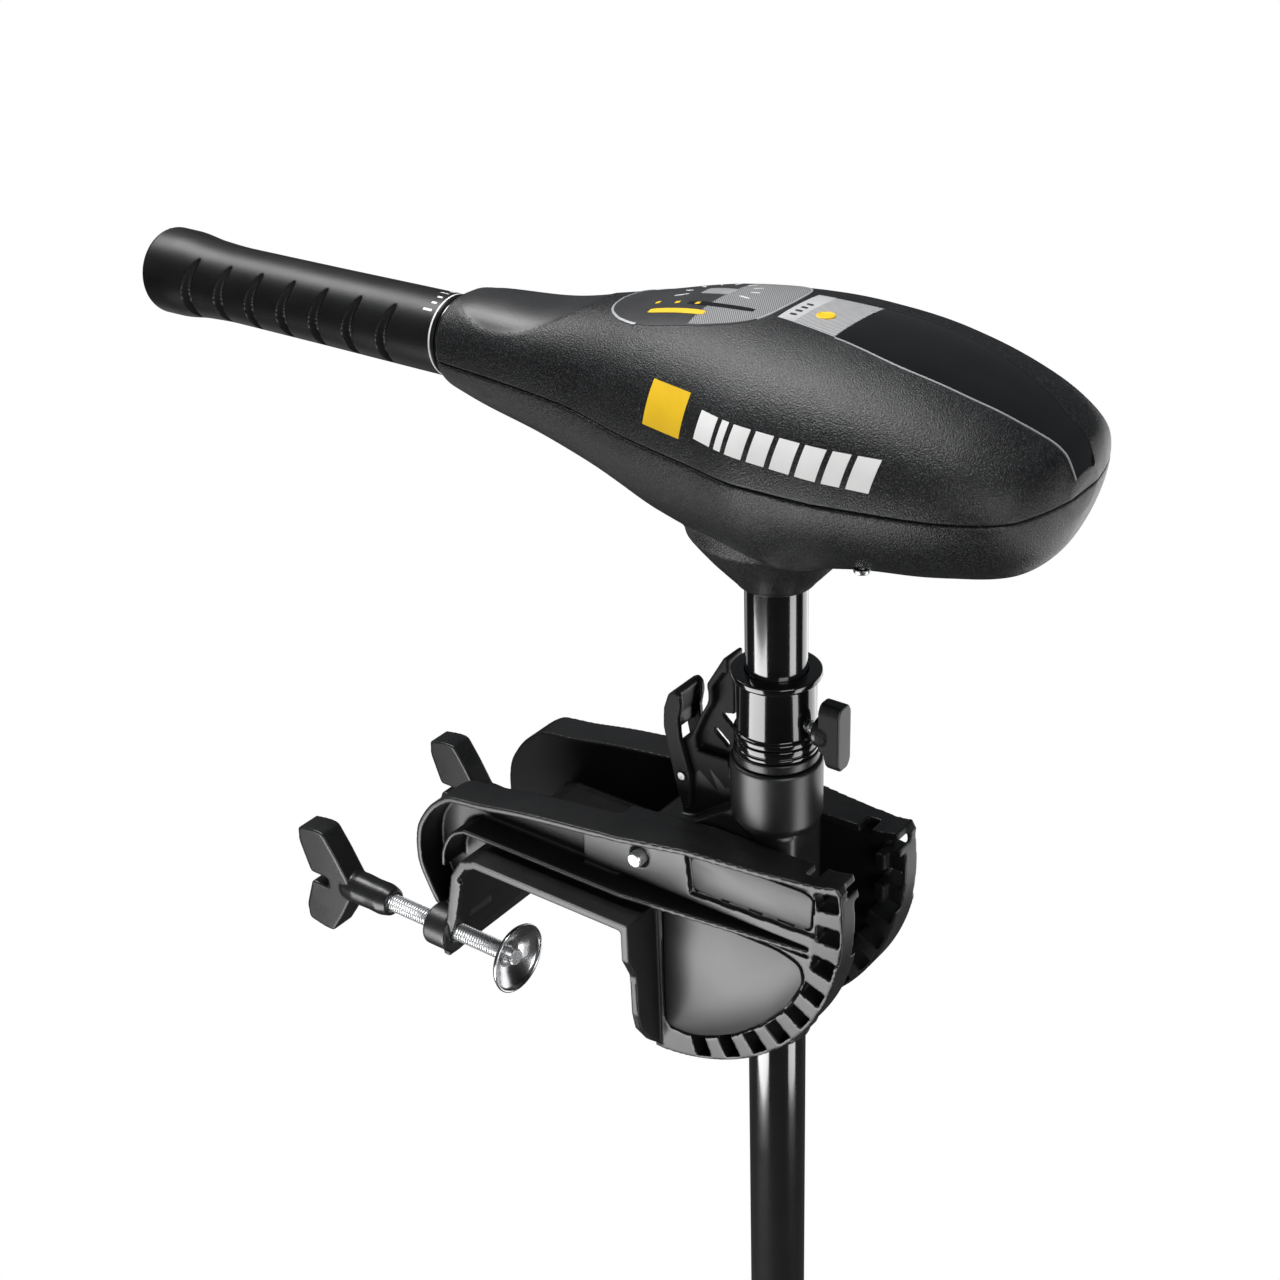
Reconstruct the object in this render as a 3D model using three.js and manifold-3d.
// Transom-mount electric trolling motor, millimetres.
// Origin: on the centre plane, level with the underside of the transom seat.
// +Z up the shaft, +X astern (propeller side), -X towards the boat, -Y port, +Y starboard.
// Pieces are drawn about the shaft axis, z = 0 at the tilt pivot, then placed by SHAFT_AT.
import * as THREE from "three";
import { mergeVertices } from "three/addons/utils/BufferGeometryUtils.js";
import Module from "manifold-3d";

// ---------- driving dimensions ----------
const SHAFT_AT = [80, 0, 27];
const SHAFT_R = 14.3, SHAFT_BORE_R = 12.3, SHAFT_TOP = 216, SHAFT_BOTTOM = -690;
const RUN = 0.35; // running clearance on radius
const SNUG = 0.05; // clearance on radius of fixed joints
const SHAFT_RUN_R = SHAFT_R + RUN, SHAFT_SNUG_R = SHAFT_R + SNUG;
const PIVOT_X = -55.7, PIN_R = 4.0, PIVOT_HOLE_R = 4.6;
const AT_PIVOT = [PIVOT_X, 0, 0];
// quadrant: a plate edge about the pivot, angles in degrees downwards from +X
const QUAD_R = 113, QUAD_FROM = -8, QUAD_TO = 84, QUAD_FACE = 35.5, QUAD_IN = 18.5;
const SLOT_R0 = 100.2, SLOT_R1 = 111.2;
const SLOT_FIRST = -7.47, SLOT_STEP = 9.86, SLOT_COUNT = 9, SLOT_DEG = 4.9;
const SEAT_Z = -27, SEAT_TOP_Z = -22.8, SEAT_Y = 60, WALL_X = -50;
const CLAMP_Y = 53.4, CLAMP_Z = -77.5, SCREW_R = 4.75, PAD_R = 18.65, PAD_RIM_X = -121.7;
const GRIP_Z = 229;
const AT_TILLER = [0, 0, GRIP_Z];
const MOTOR_Z = -733, MOTOR_R = 42, MOTOR_BORE_R = MOTOR_R - 3, MOTOR_X0 = -95, MOTOR_X1 = 88;
const AT_MOTOR = [0, 0, MOTOR_Z];
const SIDES = [["port", -1], ["starboard", 1]];

const wasm = await Module();
wasm.setup();

// ---------- outline helpers ----------
const rad = (degrees) => (degrees * Math.PI) / 180;
const raised = (points, z) => points.map(([x, y]) => [x, y + z]);
// Points in reverse order with one column negated.
const mirrored = (points, column = 1) =>
  points.map((p) => p.map((v, i) => (i === column ? -v : v))).reverse();
const symmetric = (half, column) => [...half, ...mirrored(half, column)];
const sideSpan = (side, near, far) => (side > 0 ? [near, far] : [-far, -near]);
const arc = ([cx, cy], r, from, to, steps) =>
  Array.from({ length: steps + 1 }, (_, i) => {
    const angle = rad(from + ((to - from) * i) / steps);
    return [cx + r * Math.cos(angle), cy + r * Math.sin(angle)];
  });
const sector = (centre, rOuter, rInner, from, to, outerSteps, innerSteps) => [
  ...arc(centre, rOuter, from, to, outerSteps),
  ...arc(centre, rInner, from, to, innerSteps).reverse(),
];
// Strip between an open polyline and its offset to the right of travel.
function band(line, thickness) {
  const offset = line.map(([x, y], i) => {
    const before = line[Math.max(0, i - 1)];
    const after = line[Math.min(line.length - 1, i + 1)];
    const dx = after[0] - before[0], dy = after[1] - before[1], length = Math.hypot(dx, dy);
    return [x + (dy / length) * thickness, y - (dx / length) * thickness];
  });
  return [...line, ...offset.reverse()];
}
const pointAlong = ([x, y], [dx, dy], distance) => [x + dx * distance, y + dy * distance];
// Rectangle about a line through start, between two distances along it.
function strip(start, direction, halfWidth, from, to) {
  const normal = [direction[1], -direction[0]];
  return [[from, -halfWidth], [from, halfWidth], [to, halfWidth], [to, -halfWidth]]
    .map(([l, w]) => pointAlong(pointAlong(start, direction, l), normal, w));
}
// Linear interpolation in a table of [x, value].
function lookUp(table, x) {
  if (x <= table[0][0]) return table[0][1];
  for (let i = 0; i + 1 < table.length; i++) {
    const [x0, v0] = table[i], [x1, v1] = table[i + 1];
    if (x <= x1) return v0 + ((v1 - v0) * (x - x0)) / (x1 - x0);
  }
  return table[table.length - 1][1];
}

// ---------- solid helpers ----------
function solid(source) {
  source.deleteAttribute("normal");
  source.deleteAttribute("uv");
  const merged = mergeVertices(source, 1e-4);
  const index = merged.index.array, triangles = [];
  for (let i = 0; i < index.length; i += 3) {
    const [a, b, c] = [index[i], index[i + 1], index[i + 2]];
    if (a !== b && b !== c && a !== c) triangles.push(a, b, c);
  }
  const make = () => new wasm.Manifold(new wasm.Mesh({
    numProp: 3,
    vertProperties: new Float32Array(merged.attributes.position.array),
    triVerts: new Uint32Array(triangles),
  }));
  const body = make();
  if (body.volume() >= 0) return body;
  for (let i = 0; i < triangles.length; i += 3) {
    [triangles[i + 1], triangles[i + 2]] = [triangles[i + 2], triangles[i + 1]];
  }
  return make();
}
function geometry(body) {
  const mesh = body.getMesh();
  const indexed = new THREE.BufferGeometry();
  indexed.setAttribute("position", new THREE.BufferAttribute(mesh.vertProperties, 3));
  indexed.setIndex(new THREE.BufferAttribute(mesh.triVerts, 1));
  const flat = indexed.toNonIndexed();
  flat.computeVertexNormals();
  return flat;
}
const join = (...parts) => parts.reduce((a, b) => a.add(b));
const cut = (body, ...tools) => tools.reduce((a, b) => a.subtract(b), body);
const moved = (body, matrix) => solid(geometry(body).applyMatrix4(matrix));
const bothSides = (body) => body.add(moved(body, new THREE.Matrix4().makeScale(1, -1, 1)));

const slab = (points, depth) => new THREE.ExtrudeGeometry(
  new THREE.Shape(points.map(([x, y]) => new THREE.Vector2(x, y))),
  { depth, bevelEnabled: false, steps: 1 },
);
const XYZ_TO_YZX = new THREE.Matrix4().set(0, 0, 1, 0, 1, 0, 0, 0, 0, 1, 0, 0, 0, 0, 0, 1);
// Prisms along an axis. Points are (y, z), (x, z) and (x, y).
const prismX = (points, x0, x1) =>
  solid(slab(points, x1 - x0).translate(0, 0, x0).applyMatrix4(XYZ_TO_YZX));
const prismY = (points, y0, y1) =>
  solid(slab(points, y1 - y0).rotateX(Math.PI / 2).translate(0, y1, 0));
const prismZ = (points, z0, z1) => solid(slab(points, z1 - z0).translate(0, 0, z0));
const box = (x0, x1, y0, y1, z0, z1) => prismZ([[x0, y0], [x1, y0], [x1, y1], [x0, y1]], z0, z1);
// Profile of [radius, distance along the axis] turned about an axis through centre.
function turn(profile, segments, axis = "z", centre = [0, 0, 0]) {
  const points = profile.map(([r, h]) => new THREE.Vector2(r, h));
  const lathe = new THREE.LatheGeometry(points, segments, Math.PI / segments);
  if (axis === "z") lathe.rotateX(Math.PI / 2);
  if (axis === "x") lathe.rotateZ(-Math.PI / 2);
  return solid(lathe.translate(...centre));
}
const turnLoop = (profile, ...rest) => turn([...profile, profile[0]], ...rest);
const rod = (r, h0, h1, ...rest) => turn([[0, h0], [r, h0], [r, h1], [0, h1]], ...rest);
const ring = (rInner, rOuter, h0, h1, ...rest) =>
  turnLoop([[rInner, h0], [rOuter, h0], [rOuter, h1], [rInner, h1]], ...rest);
// Skin through closed sections of [x, y, z], all the same length, capped at both ends.
function skin(sections) {
  const count = sections[0].length, positions = sections.flat(2), index = [];
  const next = (j) => (j + 1) % count;
  for (let i = 0; i + 1 < sections.length; i++) {
    for (let j = 0; j < count; j++) {
      const a = i * count + j, b = i * count + next(j), c = a + count, d = b + count;
      index.push(a, c, b, b, c, d);
    }
  }
  const cap = (i, flip) => {
    const hub = positions.length / 3;
    const middle = sections[i].reduce((sum, p) => sum.map((v, k) => v + p[k] / count), [0, 0, 0]);
    positions.push(...middle);
    for (let j = 0; j < count; j++) {
      const a = i * count + j, b = i * count + next(j);
      index.push(...(flip ? [hub, b, a] : [hub, a, b]));
    }
  };
  cap(0, false);
  cap(sections.length - 1, true);
  const surface = new THREE.BufferGeometry();
  surface.setAttribute("position", new THREE.Float32BufferAttribute(positions, 3));
  surface.setIndex(index);
  return solid(surface);
}

// ---------- materials ----------
const MATERIALS = {
  cover: { color: 0x17181a, roughness: 0.62 },
  gloss: { color: 0x050506, roughness: 0.12 },
  bracket: { color: 0x161718, roughness: 0.5 },
  rubber: { color: 0x121213, roughness: 0.7 },
  knob: { color: 0x131415, roughness: 0.42 },
  shaft: { color: 0x0d0e10, roughness: 0.22 },
  zinc: { color: 0xc6c8ca, roughness: 0.28, metalness: 1 },
  chrome: { color: 0xd2d4d6, roughness: 0.12, metalness: 1 },
  steel: { color: 0xb4b6b8, roughness: 0.35, metalness: 1 },
  label: { color: 0xbfc2c4, roughness: 0.5 },
  dial: { color: 0x2a2b2d, roughness: 0.45 },
  yellow: { color: 0xe6b820, roughness: 0.5 },
  housing: { color: 0x101113, roughness: 0.35 },
  magnet: { color: 0x3c3d40, roughness: 0.6, metalness: 0.2 },
  copper: { color: 0xb06a35, roughness: 0.35, metalness: 1 },
  core: { color: 0x6b6e72, roughness: 0.45, metalness: 0.9 },
  carbon: { color: 0x222222, roughness: 0.8 },
  nylon: { color: 0xd8d6cc, roughness: 0.5 },
  board: { color: 0x1d5a36, roughness: 0.5 },
  prop: { color: 0x121315, roughness: 0.4 },
};
const SIMPLIFY = 0.004; // largest surface change when meshes are thinned
const group = new THREE.Group();
group.name = "trolling_motor";
const shaftFrame = new THREE.Group();
shaftFrame.position.set(...SHAFT_AT);
group.add(shaftFrame);
function put(name, body, material) {
  const shape = geometry(body.asOriginal().simplify(SIMPLIFY));
  const mesh = new THREE.Mesh(shape, new THREE.MeshStandardMaterial(MATERIALS[material]));
  mesh.name = name;
  shaftFrame.add(mesh);
}

// ---------- transom bracket ----------
const PIVOT_XZ = [PIVOT_X, 0];
const quadSector = (rOuter, rInner, from, to, outerSteps, innerSteps) =>
  sector(PIVOT_XZ, rOuter, rInner, -from, -to, outerSteps, innerSteps);
// Bracket outlines, [x, z].
const TOP_AFT = [[-71, 15.5], [-24, 20.5], [15, 20.5], [45, 21.5], [54, 23.5]];
const TOP_LINE = [
  [-193, -40], [-191.5, -28], [-188, -19.5], [-180, -8.5], [-169, 0], [-161, 2], [-146, 4],
  [-116, 9.5], ...TOP_AFT,
];
const AFT_EDGE = [[56.5, 20], ...arc(PIVOT_XZ, QUAD_R, -QUAD_FROM, -QUAD_TO, 16), [WALL_X, -112.4]];
const JAW_EDGE = [[-142, SEAT_Z], [-148.5, -30], [-154, -38], [-163.5, -84]];
const BOAT_EDGE = [[-182, -72], [-187, -62], [-192, -50]];
const SIDE_OUTLINE = [
  ...TOP_LINE, ...AFT_EDGE, [WALL_X, SEAT_Z], ...JAW_EDGE, [-168, -88], [-178, -82], ...BOAT_EDGE,
];
const REAR_PANEL = [[-90, 13], ...TOP_AFT, ...AFT_EDGE, [WALL_X, -20], [-90, -17]];
const RIM_LINE = [[-178, -83], ...BOAT_EDGE, ...TOP_LINE];
const RIB_LINE = [
  [-176, -44], [-175, -35], [-171, -26], [-166, -20], [-158.5, -16], [-60, -16], [46, -16],
];
const SEAT_OUTLINE = [
  [WALL_X, SEAT_TOP_Z], [-143, SEAT_TOP_Z], [-151.5, -26], [-158.4, -37], [-168, -84],
  [-168.5, -90], [-164, -90], ...[...JAW_EDGE].reverse(), [WALL_X, SEAT_Z],
];
// Half of the upright wall, [y, z].
const WALL_HALF = [
  [SEAT_Y, SEAT_TOP_Z], [SEAT_Y, -44], [54.5, -56], [54, -80], [52, -90], [44, -102], [35.4, -110],
];
const RIM_Y = 48, PLATE_Y = 28;

function notchCutters(rOuter, rInner, outerSteps, y1) {
  return Array.from({ length: SLOT_COUNT }, (_, i) => {
    const angle = SLOT_FIRST + i * SLOT_STEP, half = SLOT_DEG / 2;
    const outline = quadSector(rOuter, rInner, angle - half, angle + half, outerSteps, 1);
    return prismY(outline, 10, y1);
  });
}
function bracketSide() {
  const plate = join(
    prismY(SIDE_OUTLINE, PLATE_Y, 31.5),
    prismY(REAR_PANEL, PLATE_Y, QUAD_FACE),
    prismY(band(RIM_LINE, 4.2), PLATE_Y, RIM_Y),
    prismY(band(RIB_LINE, 2.6), 29, RIM_Y),
    prismY(band(raised(TOP_AFT, -0.1), 4), 19, 30), // inward lip
  );
  // the rims narrow towards the stern and stop short of its end
  const taper = join(
    prismZ([[-60, RIM_Y], [60, 33.44], [60, 60], [-60, 60]], -19, 40),
    prismZ([[43.5, QUAD_FACE], [62, QUAD_FACE], [62, 50], [43.5, 50]], -20, 40),
  );
  const flange = prismY(quadSector(QUAD_R, 98.5, QUAD_FROM, QUAD_TO, 16, 12), QUAD_IN, 30);
  return cut(
    plate.subtract(taper).add(flange),
    ...notchCutters(SLOT_R1, SLOT_R0, 2, 40), // through the plate
    ...notchCutters(106, 96, 1, 27.9), // inner flange only
    prismY(quadSector(98.45, 91.5, -24, 0, 4, 4), 10, 27.9),
    box(30, 70, 10, 22.5, -20, 11).subtract(box(30, 48, 0, 40, -30, 12)),
    rod(PIVOT_HOLE_R, 20, 60, 16, "y", AT_PIVOT),
  );
}
function transomBracket() {
  let body = join(
    bothSides(bracketSide()),
    prismY(SEAT_OUTLINE, -SEAT_Y, SEAT_Y),
    prismX(symmetric(WALL_HALF, 0), WALL_X, WALL_X + 4),
  );
  for (const [, side] of SIDES) {
    const gusset = [[-179, -70], [-160, -50], [-160, -72], [-178, -86]];
    body = join(
      body,
      rod(11.6, -178, -163, 20, "x", [0, side * CLAMP_Y, CLAMP_Z]),
      prismY(gusset, ...sideSpan(side, 30, 47)),
    );
  }
  for (const [, side] of SIDES) {
    const centre = [0, side * CLAMP_Y, CLAMP_Z];
    body = cut(
      body,
      rod(SCREW_R + RUN, -200, -140, 16, "x", centre),
      rod(9.2, -215, -178.2, 20, "x", centre),
    );
  }
  return body;
}
put("transom_bracket", transomBracket(), "bracket");

// ---------- tilt pivot ----------
const PIN_HALF = 40, PIN_CHAMFER = 0.6;
const PIN_END = [[0, -PIN_HALF], [PIN_R - PIN_CHAMFER, -PIN_HALF], [PIN_R, PIN_CHAMFER - PIN_HALF]];
put("pivot_pin", turn(symmetric(PIN_END), 16, "y", AT_PIVOT), "zinc");
for (const [name, side] of SIDES) {
  const spacer = ring(PIVOT_HOLE_R, 9, ...sideSpan(side, 17.8, 27.6), 16, "y", AT_PIVOT);
  put("pivot_spacer_" + name, spacer, "nylon");
}

// ---------- tilt bracket: shaft tube, pivot arms, horn ----------
const LOCK_ANGLE = SLOT_FIRST + (SLOT_COUNT - 1) * SLOT_STEP;
const LOCK_R = 95.5, LOCK_BAR_R = 2.2; // bar at the last notch, drawn lifted out
const LOCK_DIR = [-Math.cos(rad(LOCK_ANGLE)), Math.sin(rad(LOCK_ANGLE))]; // (x, z) to the pivot
const LOCK_XZ = pointAlong(PIVOT_XZ, LOCK_DIR, -LOCK_R);
const AT_LEVER = [-47, 0, 36];
const leverHole = () => rod(2.35, -30, 30, 12, "y", AT_LEVER);
const TUBE_Y = 17.2, HORN_Y = 6.6, ROD_SLOT_Y = 4.4;
// Quarter edge of the lower tube, [x, y].
const TUBE_HALF = [[-17.4, -12], [-12, -TUBE_Y], [12, -TUBE_Y], [17.4, -12]];
// Side outlines, [x, z].
const PIVOT_ARM = [
  [-12, 33], [-22, 27], [-42, 13], [-52, 11.4], [-62, 10], [-66.5, 4.5], [-67.5, 0],
  [-66.5, -4.5], [-62, -10], [PIVOT_X, -11.8], [-42, -12.5], [-12, -34],
];
const HORN = [
  [-22.6, 105], [-24.6, 105], [-34.6, 88], [-33.8, 83], [-34.2, 78], [-38.8, 69.5], [-42, 62],
  [-44.2, 57], [-51.6, 52], [-52.4, 42], [-52.4, 30], [-50, 11], [-19, 11], [-19, 44], [-22.6, 47],
];
const HORN_POCKET = [
  [-21, 97], [-25, 97], [-31.6, 87], [-31, 83], [-31.4, 78.6], [-36, 70.2], [-39, 63.2],
  [-41.4, 57.6], [-41, 50], [-21, 50],
];
const LOCK_EARS = [
  [-12, -66], [-32, -69], [-37.5, -77], [-36.5, -86], [-31.5, -104.5], [-12.5, -104.5], [-12, -97],
];
const ROD_SLOT = [
  [-37.6, 31], [-17.9, 31], [-17.9, -75], [-15.4, -110], [-33, -110], [-33, -70],
];
const FINGER_SLOT = [[-54, 41.8], [-20.4, 41.8], [-20.4, 12], [-54, 12]];

function tiltBracket() {
  const body = join(
    rod(21.8, 27.5, 58.6, 20),
    turn([[0, 20], [17.2, 20], [21.8, 28], [0, 28]], 20),
    prismZ(symmetric(TUBE_HALF), -97, 24),
    prismY(PIVOT_ARM, -TUBE_Y, TUBE_Y),
    prismY(HORN, -HORN_Y, HORN_Y),
    prismY(LOCK_EARS, -TUBE_Y, TUBE_Y), // they guide the lock bar
  );
  return cut(
    body,
    // shaft bore and bushing seats
    rod(SHAFT_R + 0.45, -200, 30, 20),
    rod(17.2, 29, 80, 20),
    rod(16.4, -200, -84, 20),
    rod(17.5, -200, -97.05, 20),
    rod(PIN_R + RUN, -60, 60, 16, "y", AT_PIVOT),
    // central slots for the lock link and lever finger, and the lock bar track
    prismY(ROD_SLOT, -ROD_SLOT_Y, ROD_SLOT_Y),
    prismY(FINGER_SLOT, -ROD_SLOT_Y, ROD_SLOT_Y),
    prismY(strip(LOCK_XZ, LOCK_DIR, LOCK_BAR_R + 0.5, -14, 5), -30, 30),
    leverHole(),
    // windows through the horn
    prismY([[-30, 71.5], [-21, 73.6], [-21, 62.6]], -8, 8),
    prismY([[-33.2, 63.2], [-25.6, 56.8], [-26.2, 53.4], [-34.2, 60.4]], -8, 8),
    // pockets on both faces leave a thin web inside the horn's edge
    prismY(HORN_POCKET, 1.4, 9),
    prismY(HORN_POCKET, -9, -1.4),
    rod(22.2, 58.6, 120, 20), // room for the collar above the tube
  );
}
put("tilt_bracket", tiltBracket(), "bracket");
const UPPER_BUSHING = [
  [SHAFT_RUN_R, 30], [16.8, 30], [16.8, 59], [20.2, 59], [20.2, 64], [SHAFT_RUN_R, 64],
];
const LOWER_BUSHING = [
  [SHAFT_RUN_R, -99.6], [16.9, -99.6], [16.9, -97.4], [16.1, -97.4], [16.1, -84.4],
  [SHAFT_RUN_R, -84.4],
];
put("upper_bushing", turnLoop(UPPER_BUSHING, 20), "knob");
put("thrust_ring", ring(SHAFT_RUN_R, 19.6, 64.4, 70.6, 20), "gloss");
put("lower_bushing", turnLoop(LOWER_BUSHING, 20), "knob");

// ---------- tilt lock ----------
function lockBar() {
  const bar = rod(LOCK_BAR_R, -27.4, 27.4, 12, "y", [LOCK_XZ[0], 0, LOCK_XZ[1]]);
  return bar.add(prismY(strip(LOCK_XZ, LOCK_DIR, 2.4, 0, 9), -3.6, 3.6));
}
function lockLink() {
  const top = [-25, 27.6], foot = pointAlong(LOCK_XZ, LOCK_DIR, 9.5);
  const dx = top[0] - foot[0], dz = top[1] - foot[1], length = Math.hypot(dx, dz);
  const link = prismY(strip(foot, [dx / length, dz / length], 1.4, 0, length - 2), -2, 2);
  return link.add(rod(2.2, -3.9, 3.9, 10, "y", [top[0], 0, top[1]]));
}
put("lock_bar", lockBar(), "steel");
put("lock_link", lockLink(), "steel");

// ---------- release lever, outlines [x, z] ----------
const LEVER_CHEEK = [
  [-43.6, 18.5], [-47.6, 17.5], [-51.6, 32], [-55, 48], [-57.4, 60], [-57, 70], [-54, 79],
  [-50.5, 81], [-47.6, 79], [-47, 74], [-48.8, 66], [-48.2, 56], [-45, 44], [-42.6, 36.5],
];
const LEVER_BRIDGE = [
  [-55.8, 57], [-57.4, 62], [-57, 70], [-54, 79], [-50.6, 81], [-48.6, 79.6], [-49.6, 74],
  [-51.2, 66], [-51.4, 58.5],
];
const FINGER_CHEEK = [
  [-50.5, 36], [-49, 33], [-48, 27], [-44.5, 22.5], [-22, 22.2], [-20.8, 24.4], [-22.6, 25],
  [-40.5, 26], [-43.4, 30], [-43.5, 36], [-45.4, 39], [-48.6, 39],
];
const FINGER_BRIDGE = [[-47.6, 28], [-44.5, 22.7], [-40.5, 22.7], [-41, 25.6], [-43.4, 29]];
function releaseLever() {
  const cheeks = bothSides(prismY(LEVER_CHEEK, 7.2, 10.4));
  return cheeks.add(prismY(LEVER_BRIDGE, -8, 8)).subtract(leverHole());
}
function leverFinger() {
  const body = join(
    prismY(FINGER_CHEEK, 2.5, 3.9),
    prismY(FINGER_CHEEK, -3.9, -2.5),
    prismY(FINGER_BRIDGE, -3.9, 3.9),
  );
  return body.subtract(rod(2.3, -8, 8, 12, "y", AT_LEVER));
}
put("release_lever", releaseLever(), "knob");
put("lever_pin", rod(2, -11.4, 11.4, 12, "y", AT_LEVER), "steel");
put("lever_finger", leverFinger(), "steel");

// ---------- depth collar ----------
const COLLAR_KNOB_Z = 79, COLLAR_Z = 71.2;
const AT_COLLAR_KNOB = [0, 0, COLLAR_KNOB_Z];
// Half of the wing outline, [y, z from the screw axis].
const WING_HALF = [[-5.7, -13], [-3.5, -16.5], [3.5, -16.5], [5.7, -13]];
function depthCollar() {
  const body = join(
    rod(18.5, COLLAR_Z, 101.4, 20),
    rod(21.05, 101, 104.6, 20),
    rod(19.9, COLLAR_Z, 74.4, 20),
  );
  return cut(body, rod(SHAFT_R + 0.15, 60, 120, 20), rod(3.4, 10, 40, 12, "x", AT_COLLAR_KNOB));
}
function collarKnob() {
  const body = join(
    rod(8, 22, 28, 16, "x", AT_COLLAR_KNOB),
    prismX(raised(symmetric(WING_HALF), COLLAR_KNOB_Z), 25.5, 36.5),
  );
  return body.subtract(rod(3.3, 20, 31, 12, "x", AT_COLLAR_KNOB));
}
put("depth_collar", depthCollar(), "gloss");
put("collar_screw", rod(3, 14.7, 30, 12, "x", AT_COLLAR_KNOB), "zinc");
put("collar_knob", collarKnob(), "knob");

// ---------- clamp screws; profiles [radius, x] ----------
const CLAMP_SCREW = [
  [0, -222], [SCREW_R, -222], [SCREW_R, -132.5], [SCREW_R - 1, -131.5], [3.2, -131.5],
  [3.2, -126], [4.6, -124.6], [0, -122.6],
];
const CLAMP_HUB = [[0, -240], [8.5, -240], [8.5, -212], [7.4, -208], [0, -208]];
// Lower half of the two-winged handle, [x, z from the screw axis].
const HANDLE_HALF = [
  [-234, -8], [-241, -9], [-252, -25], [-262, -32], [-270, -31.5], [-275, -26], [-272, -12],
  [-266, -3], [-261, -3],
];
const CLAMP_PAD = [ // dished, hollow side towards +X
  [3.6, -131.2], [7.5, -131.2], [13, -128.4], [PAD_R - 0.4, -122.6], [PAD_R, PAD_RIM_X],
  [PAD_R - 1.2, PAD_RIM_X], [12, -126.2], [7, -128.9], [3.6, -129.2],
];
for (const [name, side] of SIDES) {
  const y = side * CLAMP_Y, centre = [0, y, CLAMP_Z];
  put("clamp_screw_" + name, turn(CLAMP_SCREW, 16, "x", centre), "zinc");
  const handle = prismY(raised(symmetric(HANDLE_HALF), CLAMP_Z), y - 7, y + 7);
  const screwHole = rod(SCREW_R + SNUG, -222.3, -200, 16, "x", centre);
  const knob = turn(CLAMP_HUB, 16, "x", centre).add(handle).subtract(screwHole);
  put("clamp_knob_" + name, knob, "knob");
  put("clamp_pad_" + name, turnLoop(CLAMP_PAD, 18, "x", centre), "chrome");
}

// ---------- shaft ----------
put("shaft_tube", ring(SHAFT_BORE_R, SHAFT_R, SHAFT_BOTTOM, SHAFT_TOP, 20), "shaft");

// ---------- control head ----------
const PART_Z = 226, WALL = 2.8, PART_GAP = 0.15, ARCH_STEPS = 8;
const HALF_WIDTH = [ // [x, half width]
  [-172, 25], [-156, 27.2], [-126, 31], [-87, 37.6], [-43.5, 52], [-6, 61.6], [28, 69],
  [55.8, 68.6], [80.4, 65], [103.5, 60], [120.8, 53], [132.4, 43.3], [139, 26], [141.8, 12],
];
// Covers: edge is [x, z] on the centre plane, power the superellipse exponent of the arch.
const UPPER = {
  sign: 1,
  power: 2.43,
  edge: [
    [-172, 252], [-156, 255.2], [-120, 257.8], [-72, 266.6], [-24, 276], [5.5, 277.7], [41, 276],
    [75, 270.7], [108, 260.2], [127, 250.4], [137, 243.5], [141.8, 234],
  ],
};
const LOWER = {
  sign: -1,
  power: 1.72,
  edge: [
    [-172, 205.8], [-152, 199.6], [-119, 192.6], [-93, 185.6], [-67.5, 178.1], [-43, 171.1],
    [-10, 165.5], [21, 163.5], [44, 170.5], [65, 175.5], [86, 178.2], [100, 181], [120, 186],
    [134, 198], [141.8, 216],
  ],
};
const STATIONS = [-172, -150, -110, -75, -43, -8, 28, 60, 90, 115, 130, 137.5, 141.8];
// Solid half of the head, shrunk by inset; an inset half also reaches past the parting plane.
function headHalf({ sign, power, edge }, inset, x0 = STATIONS[0], x1 = STATIONS.at(-1)) {
  const stations = [x0, ...STATIONS.filter((x) => x > x0 && x < x1), x1];
  return skin(stations.map((x) => {
    const half = lookUp(HALF_WIDTH, x) - inset;
    const depth = Math.abs(lookUp(edge, x) - PART_Z) - inset;
    const points = [];
    for (let i = 0; i <= ARCH_STEPS; i++) {
      const angle = (Math.PI * i) / ARCH_STEPS, c = Math.cos(angle), s = Math.sin(angle);
      const y = half * Math.sign(c) * Math.abs(c) ** (2 / power);
      points.push([x, y, PART_Z + sign * (PART_GAP + depth * Math.abs(s) ** (2 / power))]);
    }
    if (inset !== 0) points.push([x, -half, PART_Z - sign * 6], [x, half, PART_Z - sign * 6]);
    return points;
  }));
}
const headCavity = (cover) => headHalf(cover, WALL, -168.5, 137);
const topSkin = (outset, depth) => headHalf(UPPER, -outset).subtract(headHalf(UPPER, depth));
const onTop = (points, outset, depth) => prismZ(points, 200, 320).intersect(topSkin(outset, depth));
// Stern part of the top skin between two insets.
const sternSkin = (outer, inner) =>
  headHalf(UPPER, outer, 39, 141.7).subtract(headHalf(UPPER, inner, 38.5, 141.75 - inner));

// Halves of the insert and its seat, [x, y].
const INSERT_HALF = [[44, -19.8], [72, -22.7], [97, -20], [118, -14.6], [136, -8.8]];
const INSERT_SEAT_HALF = [[43.6, -20.2], [72, -23.1], [97, -20.4], [118, -15], [136.4, -9.2]];
const meterShape = (grow) =>
  symmetric([[12 - grow, -15.8 - grow], [40 + grow, -19.5 - grow]]);
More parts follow.
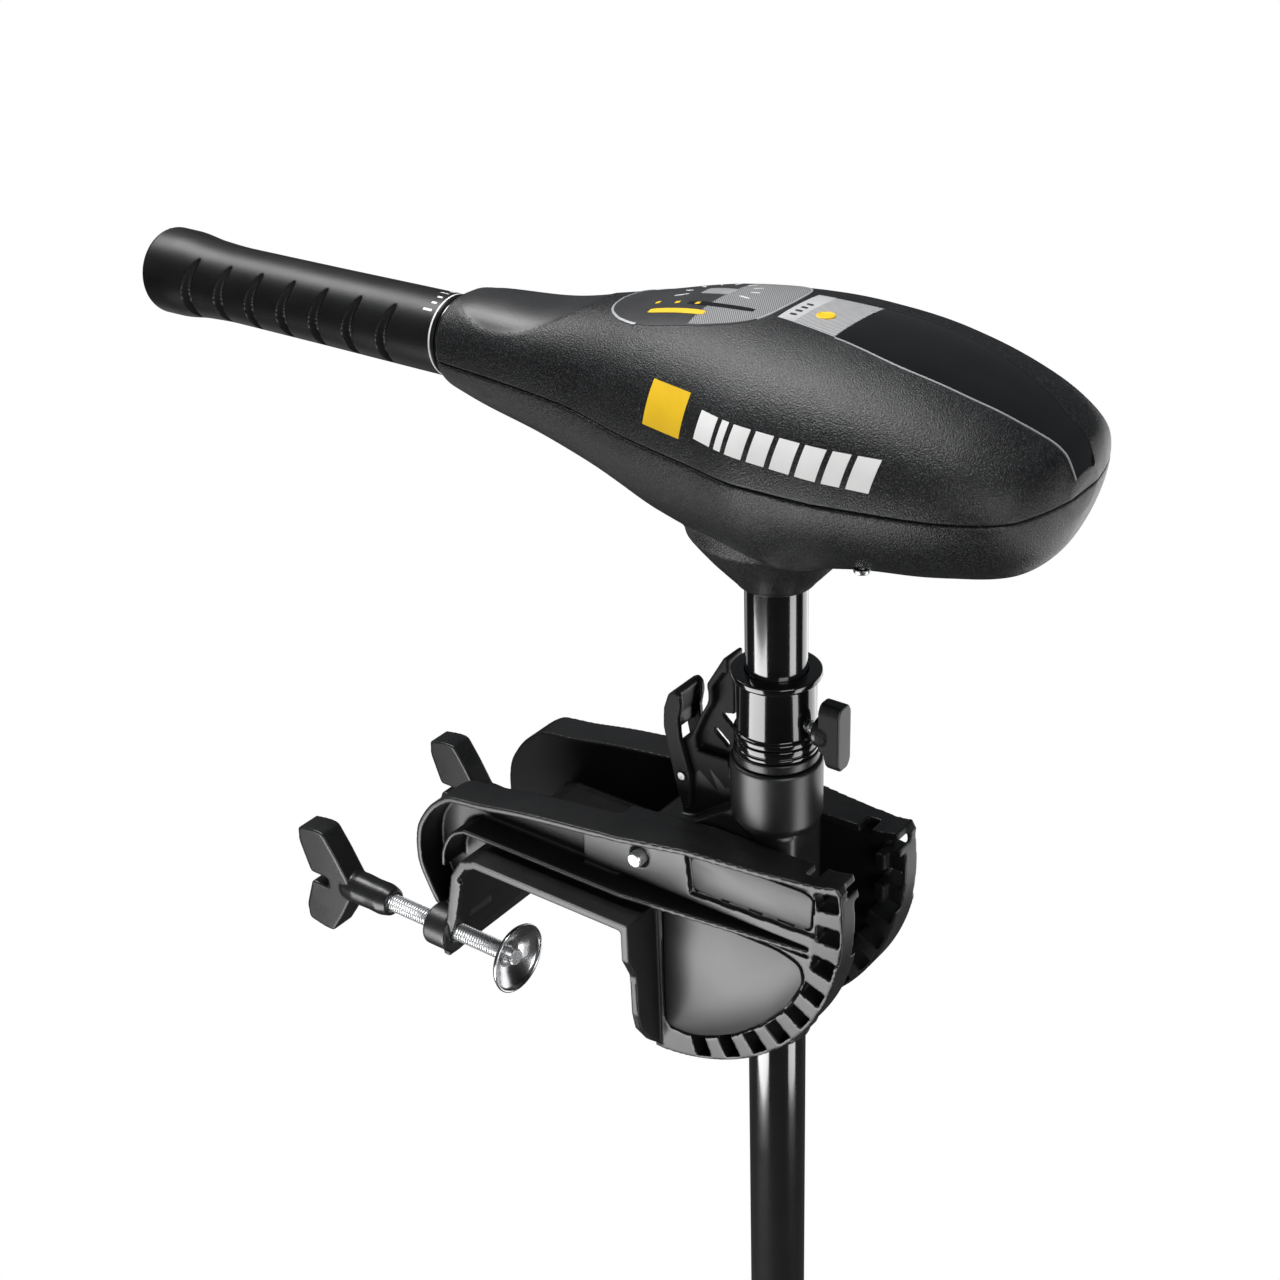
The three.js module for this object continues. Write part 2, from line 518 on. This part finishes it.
// Starboard half of the dial plate, [x, y].
const DIAL_HALF = [
  [-77, 6], [-73, 15], [-62, 23.5], [-48.5, 28.5], [-35, 30.2], [-21.7, 30.2], [-8, 28.2],
  [1.3, 24.4], [5, 19], [7, 11.2], [8, 0],
];
const DIAL_X = -34, SEAT_GROW = 0.4;
function dialShape(grow) {
  const side = DIAL_HALF.map(([x, y]) => {
    const dx = x - DIAL_X, length = Math.hypot(dx, y);
    return [x + (dx / length) * grow, y + (y / length) * grow];
  });
  return [...side, ...mirrored(side.slice(0, -1))];
}
const AT_BUTTON = [27, -4.3, 0];
const buttonHole = () => rod(4.6, 240, 320, 14, "z", AT_BUTTON);
const tillerHole = () => rod(13.2, -190, -152, 20, "x", AT_TILLER);

// Cover screws, [name, x, y, top of boss].
const COVER_SCREWS = [
  ["fore", -128, 0, 210], ["port", 66, -38, PART_Z - 1], ["starboard", 66, 38, PART_Z - 1],
];
// Height of a screw boss's foot, just below the underside at (x, y).
function bossFoot(x, y) {
  const across = Math.abs(y / lookUp(HALF_WIDTH, x)) ** LOWER.power;
  return PART_Z - (PART_Z - lookUp(LOWER.edge, x)) * (1 - across) ** (1 / LOWER.power) - 0.6;
}
const upperCover = () => cut(
  headHalf(UPPER, 0),
  headCavity(UPPER),
  tillerHole(),
  sternSkin(-0.6, 1.8).intersect(prismZ(symmetric(INSERT_SEAT_HALF), 237.5, 300)),
  onTop(dialShape(SEAT_GROW), 0.3, 1.3),
  onTop(meterShape(SEAT_GROW), 0.3, 1.3),
  buttonHole(),
);
const NECK = [
  [0, 148.5], [17.4, 148.5], [19, 151], [24, 156], [31, 163], [36, 171], [36, 180], [0, 180],
];
function lowerCover() {
  let body = headHalf(LOWER, 0).add(turn(NECK, 16)).subtract(headCavity(LOWER));
  body = cut(
    body.add(ring(14.5, 19.5, 160, 204, 20)), // sleeve round the shaft
    rod(SHAFT_SNUG_R, 140, 215, 20),
    tillerHole(),
  );
  for (const [, x, y, top] of COVER_SCREWS) {
    const foot = bossFoot(x, y), centre = [x, y, 0];
    body = cut(
      body.add(rod(5, foot, top, 8, "z", centre)),
      rod(2.1, 100, 240, 10, "z", centre),
      rod(4, 100, foot + 1.6, 10, "z", centre),
    );
  }
  return body;
}
const insert = sternSkin(-0.01, 1.4).intersect(prismZ(symmetric(INSERT_HALF), 238, 300));
const BUTTON = [[0, 268.8], [5.6, 268.8], [5.6, 270.8], [4.1, 270.8], [4.1, 277.3], [0, 277.6]];
put("head_insert", insert, "gloss");
put("dial_plate", onTop(dialShape(0), 0, 1), "dial");
put("meter_window", onTop(meterShape(0), 0, 1).subtract(buttonHole()), "label");
put("test_button", turn(BUTTON, 14, "z", AT_BUTTON), "yellow");
put("head_upper_cover", upperCover(), "cover");
put("head_lower_cover", lowerCover(), "cover");
for (const [name, x, y] of COVER_SCREWS) {
  const profile = [[0, -1.4], [3.6, -1.4], [3.6, 1.2], [1.8, 1.2], [1.8, 13], [0, 14]];
  const screw = turn(raised(profile, bossFoot(x, y)), 10, "z", [x, y, 0]);
  put("cover_screw_" + name, screw, "steel");
}
const speedSwitch = ring(7.4, 17, -70, -48, 16, "x", AT_TILLER)
  .add(box(-70, -48, -5, 5, GRIP_Z - 46, GRIP_Z - 12));
put("shaft_clamp_ring", ring(SHAFT_SNUG_R, 20.5, 206, 215, 20), "knob");
put("speed_switch", speedSwitch, "knob");
put("control_board", box(28, 98, -30, 30, 214, 216), "board");
put("terminal_block", box(38, 90, 12, 30, 216.5, 230), "nylon");
put("battery_gauge", box(16, 38, -2, 20, 256, 266), "dial");

// ---------- tiller; profiles [radius, x] ----------
const TILLER_COLLAR = [
  [12, -173.4], [18.4, -173.4], [19.6, -174.6], [19.6, -176.4], [12, -176.4],
];
const GRIP = [
  [12.95, -376.5], [20.6, -376.5], [22.3, -374], [22.2, -363], [20.2, -344], [19.2, -323],
  [19.2, -177.5], [12.95, -177.5],
];
const GRIP_CAP = [[0, -379.4], [17, -379.4], [19.6, -377], [12.5, -376.8], [12.5, -370], [0, -370]];
const GROOVE_COUNT = 7, GROOVE_X = -348, GROOVE_PITCH = 22.4, GROOVE_LENGTH = 5;
function grip() {
  let body = turnLoop(GRIP, 18, "x", AT_TILLER);
  for (let i = 0; i < GROOVE_COUNT; i++) {
    for (const [, side] of SIDES) {
      const x = GROOVE_X + i * GROOVE_PITCH;
      const section = symmetric([[side * 17.2, -8], [side * 26, -12]]);
      body = body.subtract(prismX(raised(section, GRIP_Z), x, x + GROOVE_LENGTH));
    }
  }
  return body;
}
const tillerTube = ring(9.2, 12.6, -308, -78, 20, "x", AT_TILLER)
  .add(turnLoop(TILLER_COLLAR, 20, "x", AT_TILLER));
put("tiller_tube", tillerTube, "gloss");
put("twist_rod", rod(6.6, -369, 36, 12, "x", AT_TILLER), "steel");
put("grip", grip(), "rubber");
put("grip_end_cap", turn(GRIP_CAP, 20, "x", AT_TILLER), "knob");

// ---------- lower unit ----------
const SPIGOT_R = 38.4, END_GAP = 0.4, CORE_BORE_R = 4.95, DRIVE_PIN_X = 132;
const NOSE_X = MOTOR_X0 - END_GAP, TAIL_X = MOTOR_X1 + END_GAP;
const motorRod = (r, x0, x1, segments) => rod(r, x0, x1, segments, "x", AT_MOTOR);
const motorRing = (rInner, rOuter, x0, x1, segments) =>
  ring(rInner, rOuter, x0, x1, segments, "x", AT_MOTOR);
const acrossDrive = (r, half) => rod(r, -half, half, 10, "y", [DRIVE_PIN_X, 0, MOTOR_Z]);
const drivePinHole = () => acrossDrive(2.2, 15);
// Neck profile [radius, z] and fin outline [x, z], z from the motor axis.
const MOTOR_NECK = [[0, 40.2], [30, 40.2], [24, 50], [19, 62], [18, 84], [0, 84]];
const FIN = [[-40, -40.4], [62, -40.4], [52, -70], [38, -118], [20, -124], [10, -118], [-6, -76]];
// End profiles, [radius, x].
const NOSE_CONE = [
  [0, -150], [9, -148.6], [20, -143], [30, -132], [37, -118], [41, -104], [MOTOR_R, NOSE_X],
  [SPIGOT_R, NOSE_X], [SPIGOT_R, MOTOR_X0 + 8], [34, MOTOR_X0 + 8], [33, -106], [12.5, -106],
  [12.5, -97], [9.2, -97], [9.2, -112], [0, -112],
];
const END_BELL = [
  [17, MOTOR_X1 - 8], [SPIGOT_R, MOTOR_X1 - 8], [SPIGOT_R, TAIL_X], [MOTOR_R, TAIL_X], [40, 99],
  [33, 112], [24, 120], [18, 122], [11, 122], [11, 108], [9.8, 108], [9.8, 96], [17, 96],
];
function motorHousing() {
  const body = motorRing(MOTOR_BORE_R, MOTOR_R, MOTOR_X0, MOTOR_X1, 24)
    .add(turn(raised(MOTOR_NECK, MOTOR_Z), 20));
  return cut(
    body,
    motorRod(MOTOR_BORE_R, MOTOR_X0, MOTOR_X1, 24),
    rod(SHAFT_SNUG_R, MOTOR_Z + 42.6, -600, 20), // shaft socket
    rod(10, MOTOR_Z + 36, MOTOR_Z + 44, 16), // hole from the socket into the motor
  ).add(prismY(raised(FIN, MOTOR_Z), -3, 3));
}
put("motor_housing", motorHousing(), "housing");
put("nose_cone", turn(NOSE_CONE, 18, "x", AT_MOTOR), "housing");
put("rear_end_bell", turnLoop(END_BELL, 18, "x", AT_MOTOR), "housing");
for (const [name, angle] of [["upper", 90], ["lower", 270]]) {
  const section = sector([0, MOTOR_Z], SPIGOT_R, 30.6, angle - 62, angle + 62, 10, 10);
  put("field_magnet_" + name, prismX(section, -52, 46), "magnet");
}
const WINDING = [[5, -60], [18, -60], [25, -54], [25, -46.4], [5, -46.4]]; // [radius, x]
put("motor_shaft", motorRod(4.8, -108, 168, 16).subtract(drivePinHole()), "steel");
put("armature_core", motorRing(CORE_BORE_R, 29.6, -46, 38, 24), "core");
put("armature_winding_fore", turnLoop(WINDING, 16, "x", AT_MOTOR), "copper");
put("commutator", motorRing(CORE_BORE_R, 12, -80, -61, 16), "copper");
const brushSlot = box(-90, -70, -5, 5, MOTOR_Z - 30, MOTOR_Z + 30);
put("brush_plate", motorRing(14, 37.6, -86, -82, 24).subtract(brushSlot), "knob");
for (const [name, side] of [["upper", 1], ["lower", -1]]) {
  const [z0, z1] = sideSpan(side, 12.4, 24);
  put("brush_" + name, box(-80, -66, -4, 4, MOTOR_Z + z0, MOTOR_Z + z1), "carbon");
}
put("bearing_fore", motorRing(5, 9, -111.4, -98, 16), "steel");
put("bearing_aft", motorRing(5, 9.5, 97, 107.6, 16), "steel");
put("shaft_seal", motorRing(5, 10.7, 109, 120, 16), "rubber");
put("drive_pin", acrossDrive(1.9, 14), "steel");

// ---------- propeller ----------
const PROP_BORE_R = 5.2, BLADE_X = 140;
const BLADE_SWEEP = -0.08; // y shift per unit of radius
const CHORD_SQUEEZE = 0.9; // shortens the chord along x
const PROP_HUB = [ // [radius, x]
  [PROP_BORE_R, 124.5], [20, 124.5], [21, 128], [21, 150], [17, 156], [PROP_BORE_R, 156],
];
const BLADE_STATIONS = [ // [radius, half chord, pitch in degrees, half thickness]
  [15, 24, 42, 2.4], [40, 34, 34, 2.4], [75, 36, 26, 2.1],
  [105, 30, 21, 1.8], [124, 22, 18, 1.4], [133, 9, 17, 1.0],
];
// Hexagonal blade section, [fraction of half chord, fraction of half thickness].
const BLADE_SECTION = [[-1, 0], [-0.4, 1], [0.4, 1], [1, 0], [0.4, -1], [-0.4, -1]];
function propeller() {
  const blade = skin(BLADE_STATIONS.map(([r, halfChord, pitch, halfThickness]) => {
    const angle = rad(90 - pitch), c = Math.cos(angle), s = Math.sin(angle);
    return BLADE_SECTION.map(([u, v]) => {
      const along = u * halfChord, across = v * halfThickness;
      return [
        BLADE_X + along * c * CHORD_SQUEEZE - across * s,
        along * s + across * c + r * BLADE_SWEEP,
        MOTOR_Z + r,
      ];
    });
  }));
  let body = turnLoop(PROP_HUB, 24, "x", AT_MOTOR);
  for (const degrees of [0, 180]) {
    const aboutMotor = new THREE.Matrix4().makeTranslation(0, 0, MOTOR_Z)
      .multiply(new THREE.Matrix4().makeRotationX(rad(degrees)))
      .multiply(new THREE.Matrix4().makeTranslation(0, 0, -MOTOR_Z));
    body = body.add(moved(blade, aboutMotor));
  }
  return cut(body, motorRod(PROP_BORE_R, 120, 160, 16), drivePinHole());
}
const PROP_NUT = [ // [radius, x]
  [5.3, 156.6], [9.5, 156.6], [9.5, 168], [6, 173], [0, 173], [0, 168.6], [5.3, 168.6],
];
put("propeller", propeller(), "prop");
put("prop_nut", turnLoop(PROP_NUT, 12, "x", AT_MOTOR), "nylon");

export default group;
